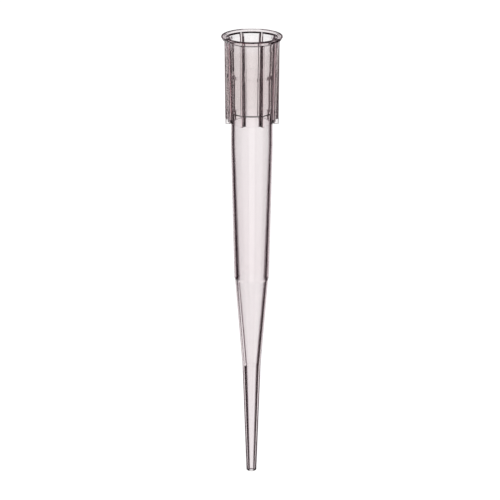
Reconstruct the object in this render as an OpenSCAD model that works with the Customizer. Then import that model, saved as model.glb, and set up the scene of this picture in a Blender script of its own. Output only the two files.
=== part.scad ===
// Pipette tip, 200 microlitre size: one moulding with a ribbed hub, a long tapered barrel and a
// fine end. All sizes are in millimetres. +Z runs up the axis, out of the mouth of the hub. The
// origin is on the axis at the top of the sealing land, the band of bore that grips the nozzle.

/* [Rim] */
// Diameter of the rim, at its top edge
rim_d = 6.85; // [6.6:0.05:7.6]
// Height of the rim, from its underside to its top
rim_h = 0.4; // [0.3:0.05:0.6]
// How far the foot of the rim stands proud of the ribs
rim_overhang = 0.04; // [0.04:0.01:0.14]
// Width of the flat ring on top of the rim
rim_land_w = 0.54; // [0.4:0.02:0.6]
// Chamfer on the outer top edge of the rim
rim_chamfer = 0.05; // [0.02:0.01:0.1]

/* [Collar and ribs] */
// Length of the collar, from its foot to the top of the rim
collar_l = 9.8; // [9.2:0.1:12]
// Wall of the collar under the rim
collar_top_wall = 0.46; // [0.3:0.01:0.55]
// Number of ribs around the collar
rib_count = 8; // [4:1:12]
// Thickness of one rib at its outer edge, under the rim
rib_w = 0.1; // [0.08:0.02:0.4]
// Slant of each side of a rib, in degrees, which makes it thicker at its root
rib_slant = 9; // [2:1:14]
// Diameter over the ribs, under the rim
rib_d = 6.5; // [6.1:0.02:6.5]
// How far each rib leans in, from the rim down to the foot of the collar
rib_draft = 0.11; // [0:0.01:0.2]
// Height of the feet of the ribs above the foot of the collar
rib_foot_lift = 0.07; // [0.04:0.01:0.2]
// How far the foot of the collar stands proud of the neck
collar_step = 0.155; // [0.04:0.005:0.2]

/* [Hub bore] */
// Diameter of the bore at the foot of the funnel
funnel_foot_d = 4.9; // [4.86:0.02:5.0]
// Depth of the funnel, from the top of the rim
funnel_l = 0.65; // [0.5:0.05:0.75]
// Length of the guide, the taper below the funnel
guide_l = 0.8; // [0.5:0.05:1.5]
// Diameter of the entry bore at its top
entry_top_d = 4.68; // [4.62:0.01:4.76]
// Diameter of the entry bore at its foot
entry_foot_d = 4.6; // [4.5:0.01:4.62]
// Length of the entry bore
entry_l = 2.8; // [2.2:0.05:3.4]
// Length of the cone between the entry bore and the land
entry_cone_l = 0.4; // [0.2:0.05:0.6]
// Diameter of the sealing land
land_d = 4.32; // [4.3:0.01:4.44]
// Length of the sealing land
land_l = 3.35; // [2:0.05:3.6]
// Length of the cone below the land
land_cone_l = 0.25; // [0.1:0.05:0.4]
// Diameter of the stop bore at its foot, where the bore steps in to the neck
stop_d = 4.24; // [4.2:0.01:4.24]
// Length of the stop bore
stop_l = 0.35; // [0.2:0.01:0.6]
// Height of the slanted step between the stop bore and the neck bore
stop_step_l = 0.14; // [0.06:0.01:0.16]
// Draft of the stop bore and the neck bore: how much wider each is at its top
bore_draft = 0.04; // [0.02:0.01:0.06]

/* [Barrel] */
// Bore of the neck at its foot; the neck is the straight top of the barrel
neck_bore_d = 4.02; // [3.9:0.02:4.1]
// Wall of the neck
neck_wall = 0.315; // [0.25:0.005:0.4]
// Length of the neck, below the collar
neck_l = 2.7; // [1:0.1:6]
// Length of the tapered barrel, from the neck to the ring where it steps in
barrel_l = 15.4; // [10:0.1:22]
// Bore of the barrel at the ring
ring_bore_d = 3.04; // [2.8:0.02:3.2]
// Wall of the barrel just above the ring
ring_wall = 0.42; // [0.3:0.01:0.5]
// How far the barrel steps in at the ring
ring_step = 0.08; // [0.04:0.01:0.15]
// Height of the chamfer that makes the step
ring_chamfer_h = 0.22; // [0.1:0.02:0.5]

/* [Cone and fine end] */
// Length of the cone, from the ring to the fine end
cone_l = 10.4; // [7:0.1:14]
// Step in the bore where the cone meets the fine end
bore_step = 0.02; // [0.01:0.01:0.06]
// Length of the fine end
fine_l = 12.7; // [8:0.1:16]
// Bore at the top of the fine end
fine_bore_d = 1.28; // [1:0.02:1.6]
// Wall at the top of the fine end
fine_wall = 0.38; // [0.25:0.01:0.5]
// Diameter of the orifice
orifice_d = 0.5; // [0.3:0.02:0.8]
// Wall at the orifice
end_wall = 0.3; // [0.2:0.01:0.4]
// Chamfer around the outer edge of the orifice
end_chamfer = 0.1; // [0.04:0.01:0.15]

/* [Hidden] */
$fn = 96;

// How far a rib is rooted in the collar wall and in the underside of the rim
rib_root = 0.08;

// Heights of the hub bore, upwards and downwards from the top of the land
entry_foot_z = entry_cone_l;
entry_top_z = entry_foot_z + entry_l;
funnel_foot_z = entry_top_z + guide_l;
top_z = funnel_foot_z + funnel_l;
land_foot_z = -land_l;
stop_top_z = land_foot_z - land_cone_l;
stop_z = stop_top_z - stop_l;
neck_bore_z = stop_z - stop_step_l;

// Heights of the outside, downwards from the top of the rim
rim_foot_z = top_z - rim_h;
collar_foot_z = top_z - collar_l;
rib_foot_z = collar_foot_z + rib_foot_lift;
neck_foot_z = collar_foot_z - neck_l;
ring_z = neck_foot_z - barrel_l;
fine_top_z = ring_z - cone_l;
end_z = fine_top_z - fine_l;

// Half thickness of a rib where it is rooted in the foot of the collar
rib_root_r = neck_bore_d / 2 + neck_wall + collar_step - rib_root;
rib_root_half = rib_w / 2 + (rib_d / 2 - rib_root_r) * tan(rib_slant);

// Radii of the outside
rim_r = rim_d / 2;
rib_top_r = rib_d / 2;
rib_foot_r = rib_top_r - rib_draft;
rim_foot_r = rib_top_r + rim_overhang;
collar_top_r = entry_top_d / 2 + collar_top_wall;
neck_r = neck_bore_d / 2 + neck_wall;
collar_foot_r = neck_r + collar_step;
ring_r = ring_bore_d / 2 + ring_wall;
fine_r = fine_bore_d / 2 + fine_wall;
end_r = orifice_d / 2 + end_wall;

// Outside of the moulding without its ribs, from the top of the rim down to the orifice
outer_edge = [
    [rim_r - rim_chamfer, top_z],
    [rim_r, top_z - rim_chamfer],
    [rim_foot_r, rim_foot_z],
    [collar_top_r, rim_foot_z],
    [collar_foot_r, collar_foot_z],
    [neck_r, collar_foot_z],
    [neck_r, neck_foot_z],
    [ring_r, ring_z],
    [ring_r - ring_step, ring_z - ring_chamfer_h],
    [fine_r, fine_top_z],
    [end_r, end_z + end_chamfer],
    [end_r - end_chamfer, end_z],
];

// Bore, from the orifice up to the mouth
bore_edge = [
    [orifice_d / 2, end_z],
    [fine_bore_d / 2, fine_top_z],
    [fine_bore_d / 2 + bore_step, fine_top_z],
    [ring_bore_d / 2, ring_z - ring_chamfer_h],
    [neck_bore_d / 2, neck_foot_z],
    [(neck_bore_d + bore_draft) / 2, neck_bore_z],
    [stop_d / 2, stop_z],
    [(stop_d + bore_draft) / 2, stop_top_z],
    [land_d / 2, land_foot_z],
    [land_d / 2, 0],
    [entry_foot_d / 2, entry_foot_z],
    [entry_top_d / 2, entry_top_z],
    [funnel_foot_d / 2, funnel_foot_z],
    [rim_r - rim_land_w, top_z],
];

// Round body: rim, collar, neck, barrel, cone and fine end around one through bore
module moulded_body() {
    rotate_extrude()
        polygon(concat(outer_edge, bore_edge));
}

// One rib: a thin upright fin on the collar, thicker at its root, from the underside of the rim
// to its own flat foot
module rib() {
    intersection() {
        rotate([90, 0, 0])
            linear_extrude(height = 3 * rib_root_half, center = true)
                polygon([
                    [rib_root_r, rib_foot_z],
                    [rib_foot_r, rib_foot_z],
                    [rib_top_r, rim_foot_z],
                    [rib_top_r - rib_root, rim_foot_z + rib_root],
                    [collar_top_r - rib_root, rim_foot_z + rib_root],
                ]);
        translate([0, 0, collar_foot_z])
            linear_extrude(height = collar_l)
                polygon([
                    [rib_root_r, -rib_root_half],
                    [rib_top_r, -rib_w / 2],
                    [rib_top_r, rib_w / 2],
                    [rib_root_r, rib_root_half],
                ]);
    }
}

// Ribs all round, set half a pitch off the X axis
module ribs() {
    for (i = [0 : rib_count - 1])
        rotate((i + 0.5) * 360 / rib_count)
            rib();
}

// The whole tip, moulded in one piece of clear polypropylene with a faint mauve tint
module pipette_tip() {
    color([0.86, 0.79, 0.82, 0.6])
        union() {
            moulded_body();
            ribs();
        }
}

pipette_tip();
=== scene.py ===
import math

import bmesh
import bpy
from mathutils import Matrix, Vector


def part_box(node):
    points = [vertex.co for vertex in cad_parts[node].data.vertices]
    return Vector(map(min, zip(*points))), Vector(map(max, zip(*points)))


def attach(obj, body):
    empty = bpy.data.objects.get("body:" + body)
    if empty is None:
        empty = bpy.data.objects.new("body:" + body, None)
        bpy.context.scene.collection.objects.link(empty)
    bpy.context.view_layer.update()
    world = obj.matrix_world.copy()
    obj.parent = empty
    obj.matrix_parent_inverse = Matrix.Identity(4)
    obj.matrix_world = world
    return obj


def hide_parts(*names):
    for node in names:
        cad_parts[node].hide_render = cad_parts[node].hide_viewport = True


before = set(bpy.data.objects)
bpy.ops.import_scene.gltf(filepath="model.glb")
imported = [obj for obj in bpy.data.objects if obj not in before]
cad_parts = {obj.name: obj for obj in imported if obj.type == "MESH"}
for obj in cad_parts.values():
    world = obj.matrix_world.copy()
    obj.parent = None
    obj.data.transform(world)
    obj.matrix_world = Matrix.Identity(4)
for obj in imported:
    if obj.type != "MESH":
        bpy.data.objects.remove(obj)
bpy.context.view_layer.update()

# Bore -------------------------------------------------------------------------------------
# The polished core pin leaves it: fine passage and barrel, then the stepped hub bore with the
# sealing land, a lead-in and a funnel at the mouth. Each corner keeps the pin's small radius.
MM = 0.001
low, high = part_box("pipette_tip")
top = high[2] / MM
end = low[2] / MM

collar_foot = top - 9.8
neck_foot = collar_foot - 2.7
ring_z = neck_foot - 15.4
ring_chamfer_foot = ring_z - 0.22
fine_top = ring_z - 10.4
orifice_r = 0.25
land_r = 2.16
land_foot = -3.35

# radius, height and corner radius of each turn, in millimetres; the land's top is at height 0
bore_turns = [
    (orifice_r, end, 0.03),
    (0.64, fine_top, 0.02),
    (0.66, fine_top, 0.02),
    (1.52, ring_chamfer_foot, 0.8),
    (2.01, neck_foot, 0.8),
    (2.015, land_foot - 0.74, 0.03),
    (2.125, land_foot - 0.6, 0.03),
    (2.14, land_foot - 0.25, 0.1),
    (land_r, land_foot, 0.1),
    (land_r, 0.0, 0.15),
    (2.26, 0.4, 0.15),
    (2.355, 3.2, 0.5),
    (2.45, 4.0, 0.015),
]


def rounded(turns):
    """Points along straight lines whose corners are rounded, each to its own radius.

    One more point just outside each end of an arc keeps the straight lines' shading straight.
    """
    points = [Vector(turns[0][:2])]
    for i in range(1, len(turns) - 1):
        here = Vector(turns[i][:2])
        before = Vector(turns[i - 1][:2]) - here
        after = Vector(turns[i + 1][:2]) - here
        shorter = min(before.length, after.length)
        half = before.angle(after) / 2
        reach = min(turns[i][2] / math.tan(half), 0.45 * shorter)
        radius = reach * math.tan(half)
        margin = min(0.012, 0.04 * shorter)
        a, b = before.normalized(), after.normalized()
        centre = here + (a + b).normalized() * (radius / math.sin(half))
        first, last = here + a * reach - centre, here + b * reach - centre
        sweep = first.angle(last)
        steps = max(2, min(6, round(math.degrees(sweep) / 10) + 1))
        points.append(here + a * (reach + margin))
        for k in range(steps + 1):
            w0 = math.sin((1 - k / steps) * sweep) / math.sin(sweep)
            w1 = math.sin(k / steps * sweep) / math.sin(sweep)
            points.append(centre + first * w0 + last * w1)
        points.append(here + b * (reach + margin))
    points.append(Vector(turns[-1][:2]))
    return points


# Rim --------------------------------------------------------------------------------------
# The flared lip of the mouth: a flat ring on top, a short skirt that slopes in, and a flat
# ledge underneath, where the ribs end. It is one with the hub, and stiffens it.
rim_r = high[0] / MM
rim_foot = top - 0.39
rim_chamfer = 0.05
rim_turns = [
    (rim_r - 0.545, top, 0.035),
    (rim_r - rim_chamfer, top, 0.02),
    (rim_r, top - rim_chamfer, 0.03),
    (3.26, rim_foot, 0.1),
]

# Collar and ribs --------------------------------------------------------------------------
# The hub's outer wall tapers a little, and carries eight thin upright ribs. They stiffen the
# grip on the nozzle, and their flat feet rest on the top plate of a rack.
wall_top_r = 2.735
wall_foot_r = 2.48
ribs = 8
rib_top_r = 3.25
rib_foot_r = 3.15
rib_foot = collar_foot + 0.07
rib_half = 0.074
rib_slant = math.radians(8.4)
rib_root = 0.275
rib_edge = 0.033
ledge_radius = 0.03
arc_points, root_points, side_points, edge_points, ledge_steps = 8, 8, 4, 5, 4


def collar_outline(wall, rib, grow=0.0):
    """The collar's outline, as plain (x, y): its wall at one radius, its ribs out to another.

    Half a rib and its share of the wall are laid out beside the X axis, from the middle of the
    wall to the middle of the rib. They are then mirrored, and turned to each rib's place.
    """
    s = rib_slant
    side = rib_top_r * math.sin(s) + (rib_half + grow) * math.cos(s)
    along = math.sqrt((wall + rib_root) ** 2 - (side + rib_root) ** 2)
    cx = (side + rib_root) * math.sin(s) + along * math.cos(s)
    cy = (side + rib_root) * math.cos(s) - along * math.sin(s)
    touch = math.atan2(cy, cx)
    half = []
    for i in range(arc_points):
        a = math.pi / ribs + (touch - math.pi / ribs) * (i + 0.5) / arc_points
        half.append((wall * math.cos(a), wall * math.sin(a)))
    # the root fillet, which touches the wall and the rib's side
    for i in range(root_points):
        a = math.pi + touch + (math.pi / 2 - s - touch) * i / (root_points - 1)
        half.append((cx + rib_root * math.cos(a), cy + rib_root * math.sin(a)))
    # the slanted side, the small radius at the rib's edge, and half the edge's flat
    ex = rib - rib_edge
    ey = (side - rib_edge - ex * math.sin(s)) / math.cos(s)
    x0, y0 = half[-1]
    x1, y1 = ex + rib_edge * math.sin(s), ey + rib_edge * math.cos(s)
    for i in range(side_points):
        t = (i + 0.5) / side_points
        half.append((x0 + (x1 - x0) * t, y0 + (y1 - y0) * t))
    for i in range(edge_points):
        a = (math.pi / 2 - s) * (1 - i / (edge_points - 1))
        half.append((ex + rib_edge * math.cos(a), ey + rib_edge * math.sin(a)))
    half.append((rib, ey / 2))

    outline = []
    for i in range(ribs):
        turn = (i + 0.5) * 2 * math.pi / ribs
        c, d = math.cos(turn), math.sin(turn)
        for x, y in [(x, -y) for x, y in half] + half[::-1]:
            outline.append((x * c - y * d, x * d + y * c))
    return outline


def wall_at(z):
    return wall_foot_r + (wall_top_r - wall_foot_r) * (z - collar_foot) / (rim_foot - collar_foot)


def rib_at(z):
    return rib_foot_r + (rib_top_r - rib_foot_r) * (z - collar_foot) / (rim_foot - collar_foot)


# from the small fillet under the rim's ledge, down the taper, to the rounded feet of the ribs
collar_rings = []
for i in range(ledge_steps + 1):
    a = math.radians(90 * i / ledge_steps)
    z = rim_foot - ledge_radius * (1 - math.cos(a))
    grow = ledge_radius * (1 - math.sin(a))
    collar_rings.append((z, collar_outline(wall_at(z) + grow, rib_at(z), grow)))
for z in (rim_foot - 0.1, rim_foot - 3, rim_foot - 6, rib_foot + 0.1, rib_foot + 0.02):
    collar_rings.append((z, collar_outline(wall_at(z), rib_at(z))))
for lift, draw in ((0.008, 0.002), (0.002, 0.006), (0, 0.012)):
    z = rib_foot + lift
    collar_rings.append((z, collar_outline(wall_at(z), rib_at(z) - draw, -draw)))

# Barrel and fine end ----------------------------------------------------------------------
# Below the collar the tube is plain: a straight neck, a long taper to a small step-in ring, a
# steeper cone, and the fine end, whose mouth is cut square with a tiny bevel.
neck_r = 2.325
outer_turns = [
    (wall_at(rib_foot), rib_foot, 0),
    (wall_foot_r, collar_foot, 0.02),
    (neck_r, collar_foot, 0.02),
    (neck_r, neck_foot, 0.5),
    (1.94, ring_z, 0.05),
    (1.86, ring_chamfer_foot, 0.08),
    (1.02, fine_top, 2.0),
    (0.565, end + 0.1, 0.05),
    (0.45, end, 0.04),
]

# Moulding ---------------------------------------------------------------------------------
# All of it is one shot of clear polypropylene. Rings run up the bore, over the rim, down the
# outside and round the end, and close on themselves into one watertight skin.
spokes = [math.atan2(y, x) for x, y in collar_outline(wall_at(rim_foot), rib_at(rim_foot))]


def round_ring(r, z):
    return [(r * math.cos(a), r * math.sin(a), z) for a in spokes]


# each edge runs a turn past its end, so that its last corner is rounded too
inner = rounded(outer_turns[-1:] + bore_turns + rim_turns + [(3.0, rim_foot, 0)])
outer = rounded(outer_turns + bore_turns[:2])
# the skin closes on itself in the bore, just above the orifice
seam = end + 0.02
start = next(i for i, p in enumerate(inner) if p.y > seam)
close = next(i for i, p in enumerate(outer) if p.y > seam and p.x < orifice_r + 0.05)
rings = [round_ring(p.x, p.y) for p in inner[start:-1]]
for z, outline in collar_rings:
    rings.append([(x, y, z) for x, y in outline])
# the flat underside of the ribs' feet, in to the wall
feet = []
for x, y in collar_rings[-1][1]:
    shrink = wall_at(rib_foot) / math.hypot(x, y)
    feet.append((x * shrink, y * shrink, rib_foot))
rings.append(feet)
rings += [round_ring(p.x, p.y) for p in outer[1:close]]

around = len(spokes)
faces = []
for j in range(len(rings)):
    a, b = j * around, (j + 1) % len(rings) * around
    for i in range(around):
        k = (i + 1) % around
        faces.append((a + i, b + i, b + k, a + k))
skin = bpy.data.meshes.new("tip_moulding")
skin.from_pydata([(x * MM, y * MM, z * MM) for ring in rings for x, y, z in ring], [], faces)
# between the ribs the feet have no underside, and its two rings become one
weld = bmesh.new()
weld.from_mesh(skin)
bmesh.ops.remove_doubles(weld, verts=weld.verts, dist=1e-4 * MM)
weld.to_mesh(skin)
weld.free()
skin.validate()
skin.polygons.foreach_set("use_smooth", [True] * len(skin.polygons))
skin.update()
tip = bpy.data.objects.new("tip_moulding", skin)
bpy.context.scene.collection.objects.link(tip)
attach(tip, "root")
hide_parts("pipette_tip")

polypropylene = bpy.data.materials.new("clear polypropylene")
polypropylene.use_nodes = True
nodes, links = polypropylene.node_tree.nodes, polypropylene.node_tree.links
nodes.clear()
surface = nodes.new("ShaderNodeOutputMaterial")
shader = nodes.new("ShaderNodeBsdfPrincipled")
shader.inputs["IOR"].default_value = 1.49
shader.inputs["Transmission Weight"].default_value = 1.0
links.new(shader.outputs["BSDF"], surface.inputs["Surface"])
tint = nodes.new("ShaderNodeVolumeAbsorption")
tint.inputs["Color"].default_value = (0.906, 0.8, 0.82, 1)
tint.inputs["Density"].default_value = 1000.0
links.new(tint.outputs["Volume"], surface.inputs["Volume"])
place = nodes.new("ShaderNodeTexCoord")


def map_range(value, from_min, from_max, to_min=0.0, to_max=1.0):
    """Move a value from one range to another, in the node tree at hand."""
    node = nodes.new("ShaderNodeMapRange")
    links.new(value, node.inputs["Value"])
    node.inputs["From Min"].default_value = from_min
    node.inputs["From Max"].default_value = from_max
    node.inputs["To Min"].default_value = to_min
    node.inputs["To Max"].default_value = to_max
    return node.outputs["Result"]


def set_ramp(node, stops):
    """Give a colour ramp its stops, each a position from 0 to 1 and a red, green and blue."""
    elements = node.color_ramp.elements
    while len(elements) < len(stops):
        elements.new(0.5)
    for element, (position, colour) in zip(elements, stops):
        element.position = position
        element.color = (*colour, 1)


# painted shade: the base colour is a little darker over the hub than over the barrel and the rim
clear_colour = (1, 1, 1)
painted_shade_colour = (0.92, 0.91, 0.9)
hub_shade_stops = [
    (collar_foot, clear_colour),
    (collar_foot + 1.5, painted_shade_colour),
    (rim_foot - 1.3, painted_shade_colour),
    (rim_foot - 0.7, clear_colour),
]
shade_low, shade_high = -5.4, 4.6
split = nodes.new("ShaderNodeSeparateXYZ")
links.new(place.outputs["Object"], split.inputs["Vector"])
# the ramp paints that shade in by height, from just above the collar's foot to just under the rim
hub_shade = nodes.new("ShaderNodeValToRGB")
links.new(map_range(split.outputs["Z"], shade_low * MM, shade_high * MM), hub_shade.inputs["Fac"])
set_ramp(hub_shade, [((z - shade_low) / (shade_high - shade_low), rgb) for z, rgb in hub_shade_stops])
# clouds in the melt shade the colour a little, and vary the polish
cloud = nodes.new("ShaderNodeTexNoise")
links.new(place.outputs["Object"], cloud.inputs["Vector"])
cloud.inputs["Scale"].default_value = 700
cloud.inputs["Detail"].default_value = 3
shaded = nodes.new("ShaderNodeVectorMath")
shaded.operation = "SCALE"
links.new(hub_shade.outputs["Color"], shaded.inputs["Vector"])
links.new(map_range(cloud.outputs["Fac"], 0, 1, 0.975, 1.005), shaded.inputs["Scale"])
links.new(shaded.outputs["Vector"], shader.inputs["Base Color"])
links.new(map_range(cloud.outputs["Fac"], 0.3, 0.7, 0.012, 0.03), shader.inputs["Roughness"])
# faint polishing lines of the mould run along the tip
stretch = nodes.new("ShaderNodeMapping")
stretch.inputs["Scale"].default_value = (3500, 3500, 500)
links.new(place.outputs["Object"], stretch.inputs["Vector"])
lines = nodes.new("ShaderNodeTexNoise")
links.new(stretch.outputs["Vector"], lines.inputs["Vector"])
lines.inputs["Scale"].default_value = 1
lines.inputs["Detail"].default_value = 2
bump = nodes.new("ShaderNodeBump")
bump.inputs["Strength"].default_value = 0.15
bump.inputs["Distance"].default_value = 0.00001
links.new(lines.outputs["Fac"], bump.inputs["Height"])
links.new(bump.outputs["Normal"], shader.inputs["Normal"])
skin.materials.append(polypropylene)

# Floor ------------------------------------------------------------------------------------
# A plain pale sweep well below the tip, which hangs free. Rays that have passed through the
# clear plastic go on to the studio's panels, as they would past a narrow table.
half_width = 6.0
drop = 0.04
corners = [(x * half_width, y * half_width, 0) for x, y in ((-1, -1), (1, -1), (1, 1), (-1, 1))]
floor_mesh = bpy.data.meshes.new("floor")
floor_mesh.from_pydata(corners, [], [(0, 1, 2, 3)])
floor = bpy.data.objects.new("floor", floor_mesh)
floor.location.z = low[2] - drop
bpy.context.scene.collection.objects.link(floor)
pale = bpy.data.materials.new("pale floor")
pale.use_nodes = True
nodes, links = pale.node_tree.nodes, pale.node_tree.links
nodes.clear()
surface = nodes.new("ShaderNodeOutputMaterial")
paint = nodes.new("ShaderNodeBsdfDiffuse")
paint.inputs["Color"].default_value = (0.8, 0.8, 0.8, 1)
glow = nodes.new("ShaderNodeEmission")
glow.inputs["Strength"].default_value = 0.3
lit = nodes.new("ShaderNodeAddShader")
links.new(paint.outputs[0], lit.inputs[0])
links.new(glow.outputs[0], lit.inputs[1])
clear = nodes.new("ShaderNodeBsdfTransparent")
path = nodes.new("ShaderNodeLightPath")
through = nodes.new("ShaderNodeMixShader")
links.new(path.outputs["Is Camera Ray"], through.inputs[0])
links.new(clear.outputs[0], through.inputs[1])
links.new(lit.outputs[0], through.inputs[2])
links.new(through.outputs[0], surface.inputs["Surface"])
floor_mesh.materials.append(pale)

# Studio -----------------------------------------------------------------------------------
# White upright panels stand around the tip with dark gaps between them, so the plastic shows
# bright fields and dark edges. The camera, and light on plain surfaces, find it all white.
studio = bpy.data.worlds.new("studio")
bpy.context.scene.world = studio
studio.use_nodes = True
nodes, links = studio.node_tree.nodes, studio.node_tree.links
nodes.clear()


def math_node(operation, *values):
    """A Math node in the node tree at hand, fed with numbers or with other nodes' outputs."""
    node = nodes.new("ShaderNodeMath")
    node.operation = operation
    for socket, value in zip(node.inputs, values):
        if isinstance(value, (int, float)):
            socket.default_value = value
        else:
            links.new(value, socket)
    return node.outputs[0]


# one upright panel: degrees to the right of its middle, and its brightness there
panel_lights = [
    (-60, 0), (-45, 0), (-25, 0.1), (-16, 1),
    (16, 1), (25, 0.25), (45, 0), (60, 0),
]
# degrees that a whole ramp covers
ramp_span = 120
panel = bpy.data.node_groups.new("upright panel", "ShaderNodeTree")
panel.interface.new_socket("Bearing", in_out="INPUT", socket_type="NodeSocketFloat")
panel.interface.new_socket("Middle", in_out="INPUT", socket_type="NodeSocketFloat")
panel.interface.new_socket("Light", in_out="OUTPUT", socket_type="NodeSocketFloat")
given = panel.nodes.new("NodeGroupInput")
result = panel.nodes.new("NodeGroupOutput")
off = panel.nodes.new("ShaderNodeMath")
off.operation = "SUBTRACT"
wrap = panel.nodes.new("ShaderNodeMath")
wrap.operation = "WRAP"
wrap.inputs[1].default_value = 180
wrap.inputs[2].default_value = -180
spread = panel.nodes.new("ShaderNodeMath")
spread.operation = "MULTIPLY_ADD"
spread.inputs[1].default_value = 1 / ramp_span
spread.inputs[2].default_value = 0.5
ramp = panel.nodes.new("ShaderNodeValToRGB")
set_ramp(ramp, [(angle / ramp_span + 0.5, (light,) * 3) for angle, light in panel_lights])
panel.links.new(given.outputs["Bearing"], off.inputs[0])
panel.links.new(given.outputs["Middle"], off.inputs[1])
panel.links.new(off.outputs[0], wrap.inputs[0])
panel.links.new(wrap.outputs[0], spread.inputs[0])
panel.links.new(spread.outputs[0], ramp.inputs["Fac"])
panel.links.new(ramp.outputs["Color"], result.inputs["Light"])

# where a ray goes, in degrees: its bearing from +Y towards +X, and its height above level
look = nodes.new("ShaderNodeTexCoord")
split = nodes.new("ShaderNodeSeparateXYZ")
links.new(look.outputs["Generated"], split.inputs["Vector"])
bearing = math_node("DEGREES", math_node("ARCTAN2", split.outputs["X"], split.outputs["Y"]))
height = math_node("DEGREES", math_node("ARCSINE", split.outputs["Z"]))


def row_of_panels(*middles):
    """The light of several panels side by side, each with its middle at one bearing."""
    light = 0.0
    for middle in middles:
        node = nodes.new("ShaderNodeGroup")
        node.node_tree = panel
        links.new(bearing, node.inputs["Bearing"])
        node.inputs["Middle"].default_value = middle
        light = math_node("MAXIMUM", light, node.outputs["Light"])
    return light


def blend(factor, a, b):
    return math_node("MULTIPLY_ADD", factor, math_node("SUBTRACT", b, a), a)


# three rows of panels, one above another, each fading into the next
low_row = row_of_panels(1, -45, 135)
middle_row = row_of_panels(1, 180, 135)
high_row = row_of_panels(1, 90, 180, -90)
rows = blend(map_range(height, -22.1, -21.4), low_row, middle_row)
rows = blend(map_range(height, -9.5, -8.5), rows, high_row)
# how bright the panels are by height: full from 37 degrees below the tip to 3 above it
height_lights = [
    (-62, 1), (-57, 0.1), (-47, 0.5), (-42, 0.45), (-37, 1),
    (3, 1), (8, 0.5), (13, 0.12), (20, 0.04), (32, 0),
]
level_at = 0.6
rise = nodes.new("ShaderNodeValToRGB")
links.new(math_node("MULTIPLY_ADD", height, 1 / ramp_span, level_at), rise.inputs["Fac"])
set_ramp(rise, [(angle / ramp_span + level_at, (light,) * 3) for angle, light in height_lights])
# from a dark mauve gap, through a panel's half-lit edge, to its white
gap_to_white = [
    (0, (0.012, 0.006, 0.007)),
    (0.15, (0.165, 0.125, 0.142)),
    (0.5, (0.51, 0.455, 0.48)),
    (1, (1, 1, 1)),
]
shade = nodes.new("ShaderNodeValToRGB")
links.new(math_node("MULTIPLY", rows, rise.outputs["Color"]), shade.inputs["Fac"])
set_ramp(shade, gap_to_white)
panels = nodes.new("ShaderNodeBackground")
links.new(shade.outputs["Color"], panels.inputs["Color"])
white = nodes.new("ShaderNodeBackground")
white.inputs["Color"].default_value = (1, 1, 1, 1)
path = nodes.new("ShaderNodeLightPath")
plain_view = math_node("ADD", path.outputs["Is Camera Ray"], path.outputs["Is Diffuse Ray"])
pick = nodes.new("ShaderNodeMixShader")
links.new(plain_view, pick.inputs[0])
links.new(panels.outputs[0], pick.inputs[1])
links.new(white.outputs[0], pick.inputs[2])
out = nodes.new("ShaderNodeOutputWorld")
links.new(pick.outputs[0], out.inputs["Surface"])

# Camera -----------------------------------------------------------------------------------
# A long lens in front of the tip and about 17 degrees above it, aimed near its middle.
lens = bpy.data.cameras.new("camera")
camera = bpy.data.objects.new("camera", lens)
bpy.context.scene.collection.objects.link(camera)
bpy.context.scene.camera = camera
lens.lens = 287.5
lens.clip_start = 0.01
aim = Vector((-0.00019, 0, low[2] + 0.02626))
down = math.radians(17.2)
turn = math.radians(1.15)
roll = math.radians(0.07)
back = Vector((-math.sin(turn) * math.cos(down), -math.cos(turn) * math.cos(down), math.sin(down)))
distance = 0.448
camera.location = aim + distance * back
camera.rotation_euler = (math.pi / 2 - down, 0, -turn)
camera.rotation_euler.rotate_axis("Z", roll)
bpy.context.scene.view_settings.view_transform = "Standard"
